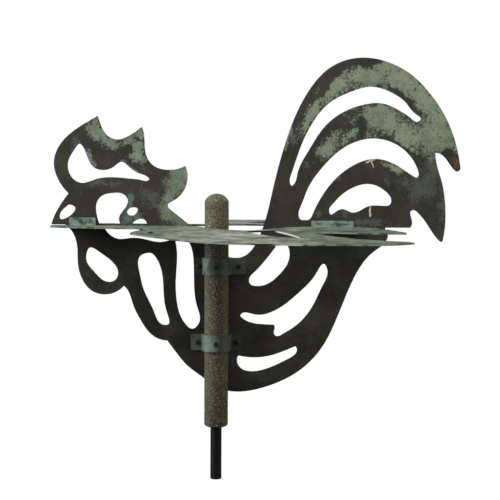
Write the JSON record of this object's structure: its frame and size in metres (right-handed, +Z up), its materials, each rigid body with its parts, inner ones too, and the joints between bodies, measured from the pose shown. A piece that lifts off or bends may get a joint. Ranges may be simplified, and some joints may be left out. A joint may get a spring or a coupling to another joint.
{
  "type": "weather vane",
  "caption": "Rooster weather vane of crossed pierced copper sheets on a textured pipe sleeve that turns freely on a steel spindle rod.",
  "frame": {"origin": "centre of the spindle rod's cut foot, on the spin axis", "axes": "+Z up along the spin axis, the rooster's beak towards -X and its tail towards +X, -Y towards the side that carries the pipe sleeve"},
  "size_m": [0.5706, 0.316, 0.5932],
  "materials": {
    "black_steel": "black, satin",
    "bearing_steel": "polished",
    "bush_bronze": "machined",
    "cast_pipe": "granular, olive brown with pale specks",
    "patinated_sheet": "dark weathered copper with patches of verdigris",
    "plate_sheet": "weathered copper, grey green, soft gloss",
    "strap_copper": "dull grey green copper",
    "dark_fastener": "dark weathered"
  },
  "bodies": {
    "spindle": {"spindle_rod": "black_steel", "thrust_ball": "bearing_steel"},
    "vane": {"thrust_disc": "bearing_steel", "upper_bush": "bush_bronze", "lower_bush": "bush_bronze", "pipe_sleeve": "cast_pipe", "pipe_cap": "cast_pipe", "rooster_profile": "patinated_sheet", "near_wing_plate": "plate_sheet", "far_wing_plate": "plate_sheet", "head_rivets": "plate_sheet", "tail_rivets": "plate_sheet", "upper_strap": "strap_copper", "lower_strap": "strap_copper", "upper_strap_bolts": "dark_fastener", "lower_strap_bolts": "dark_fastener", "upper_strap_washers": "dark_fastener", "lower_strap_washers": "dark_fastener", "upper_strap_nuts": "dark_fastener", "lower_strap_nuts": "dark_fastener", "upper_strap_screw": "dark_fastener", "lower_strap_screw": "dark_fastener"}
  },
  "joints": [
    {"name": "vane_spin", "type": "hinge", "parent": "spindle", "child": "vane", "pos_m": [0, 0, 0.37], "axis": [0, 0, 1], "continuous": true}
  ]
}
